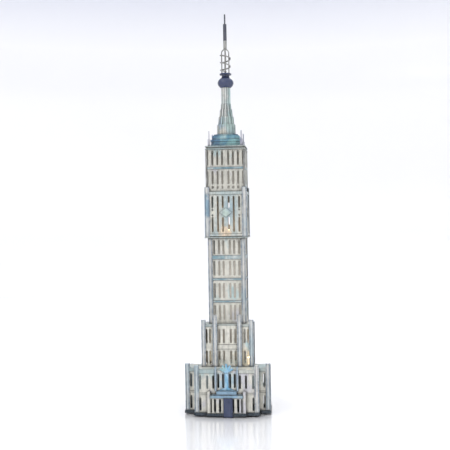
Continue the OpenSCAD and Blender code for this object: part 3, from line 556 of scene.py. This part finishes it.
def make_coil(material, rng):
    """The hand-wound coil: it drifts a little in radius and pitch, and is soldered to the cage."""
    low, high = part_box("lantern_coil")
    wire = 0.75 * MM
    drift, sag = 0.12 * MM, 0.25 * MM
    solder = (0.9 * MM, 0.9 * MM, 0.7 * MM)
    inward = 0.90
    radius = (high[0] - low[0]) / 2 - wire
    turns, steps = 2.3, 28
    count = int(turns * steps)
    top, bottom = high[2] - wire, low[2] + wire
    points = []
    for k in range(count + 1):
        along = k / count
        angle = math.pi + 2 * math.pi * turns * along
        r = radius + drift * math.sin(2.3 * angle + 0.7)
        z = top + (bottom - top) * along + sag * math.sin(1.4 * angle)
        z = min(max(z, bottom), top)
        points.append((r * math.cos(angle), r * math.sin(angle), z))
    bm = bmesh.new()
    tube(bm, points, lambda t: wire * (1 + 0.06 * math.sin(31 * t)))
    for x, y, z in points[::steps // 4]:
        blob(bm, (x * inward, y * inward, z), solder, rng)
    link_piece("lantern_coil_wire", bm, material, "tower", "lantern_coil")


def make_cage(material, rng):
    """The cage: two bent wires that cross at the top, each slightly uneven."""
    low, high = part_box("lantern_cage")
    wire = 0.65 * MM
    sway, straight_foot, waves = 0.16 * MM, 4 * MM, 260
    top_solder, foot_solder = (1.2 * MM, 1.2 * MM, 0.6 * MM), (1.15 * MM, 1.15 * MM, 0.55 * MM)
    radius = (high[0] - low[0]) / 2 - wire
    spring = high[2] - wire - radius
    legs, arch = 12, 20
    heights = [low[2] + (spring - low[2]) * k / legs for k in range(legs)]
    bends = [math.pi * k / arch for k in range(arch + 1)]
    path = [(-radius, z) for z in heights]
    path += [(-radius * math.cos(a), spring + radius * math.sin(a)) for a in bends]
    path += [(radius, z) for z in reversed(heights)]
    bm = bmesh.new()
    for turn in (0, math.pi / 2):
        across, back = math.cos(turn), math.sin(turn)
        phase = rng.uniform(0, math.pi)
        points = []
        for x, z in path:
            fade = min(1, (z - low[2]) / straight_foot)
            y = sway * fade * math.sin(z * waves + phase)
            points.append((x * across - y * back, x * back + y * across, z))
        tube(bm, points, wire)
    blob(bm, (0, 0, high[2] - wire), top_solder, rng)
    for k in range(4):
        angle = math.pi / 2 * k
        foot = (radius * math.cos(angle), radius * math.sin(angle), low[2] + 0.35 * MM)
        blob(bm, foot, foot_solder, rng)
    link_piece("lantern_cage_wires", bm, material, "tower", "lantern_cage")


def make_contacts(material):
    """Battery contacts: a plate at each end of each cell and a wound conical spring on it."""
    low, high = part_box("battery_contacts")
    cell_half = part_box("battery_cells")[1][1]
    cells = 3
    width, plate, wire = 8 * MM, 0.6 * MM, 0.22 * MM
    wide_end, taper = 3.0, 1.6
    turns, steps = 2.5, 20
    count = int(turns * steps)
    pitch = (high[0] - low[0] - width) / (cells - 1)
    middle_z = (low[2] + high[2]) / 2
    corner = Vector((width / 2, plate / 2, width / 2))
    bm = bmesh.new()
    for k in range(cells):
        x = (k - (cells - 1) / 2) * pitch
        for s, wall in ((-1, low[1]), (1, high[1])):
            made = bmesh.ops.create_cube(bm, size=2)["verts"]
            for vertex in made:
                vertex.co = Vector([c * h for c, h in zip(vertex.co, corner)])
                vertex.co += Vector((x, wall - s * plate / 2, middle_z))
            start, end = wall - s * plate, s * cell_half
            points = []
            for i in range(count + 1):
                along = i / count
                r = (wide_end - taper * along) * MM - wire
                angle = 2 * math.pi * turns * along
                y = start + (end - start) * along + s * wire * (2 * along - 1)
                points.append((x + r * math.cos(angle), y, middle_z + r * math.sin(angle)))
            tube(bm, points, wire, 8)
    piece = link_piece("battery_springs", bm, material, "tower", "battery_contacts")
    largest_smooth = 4 * MM * MM
    for polygon in piece.data.polygons:
        polygon.use_smooth = polygon.area < largest_smooth


def make_glow():
    """Warm light at the lamps, and the weak lights for what reaches the walls' insides."""
    low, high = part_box("lamps")
    y = low[1] + LAMP_FLANGE
    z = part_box("podium_roof")[1][2] + PODIUM_LAMP_RISE
    places = ((high[0] - LAMP_FLANGE, y, z), (low[0] + LAMP_FLANGE, y, z),
              (0, 0, high[2] + COLLAR_LAMP_RISE))
    for k, (place, power) in enumerate(zip(places, LAMP_POWER)):
        glow = add_light(f"lamp_glow_{k}", "POINT", place, power, LAMP_COLOUR)
        glow.data.shadow_soft_size = LAMP_SIZE
    for k, (place, power, colour) in enumerate(INNER_LIGHTS):
        glow = add_light(f"inner_glow_{k}", "POINT", place, power, colour)
        glow.data.shadow_soft_size = INNER_SIZE


def dress_nodes(made):
    """Gives every CAD node the material of its slot."""
    slots = {row["node"]: row["material_slot"] for row in frame["record"]["subparts"]}
    for name, node in frame["nodes"].items():
        for k in range(len(node.material_slots)):
            node.material_slots[k].material = made[slots[name]]


make_camera()
make_floor()
make_lights()
materials = make_materials()
dress_nodes(materials)
chance = random.Random(7)
make_coil(materials["wire_metal"], chance)
make_cage(materials["wire_metal"], chance)
make_contacts(materials["contact_metal"])
make_glow()
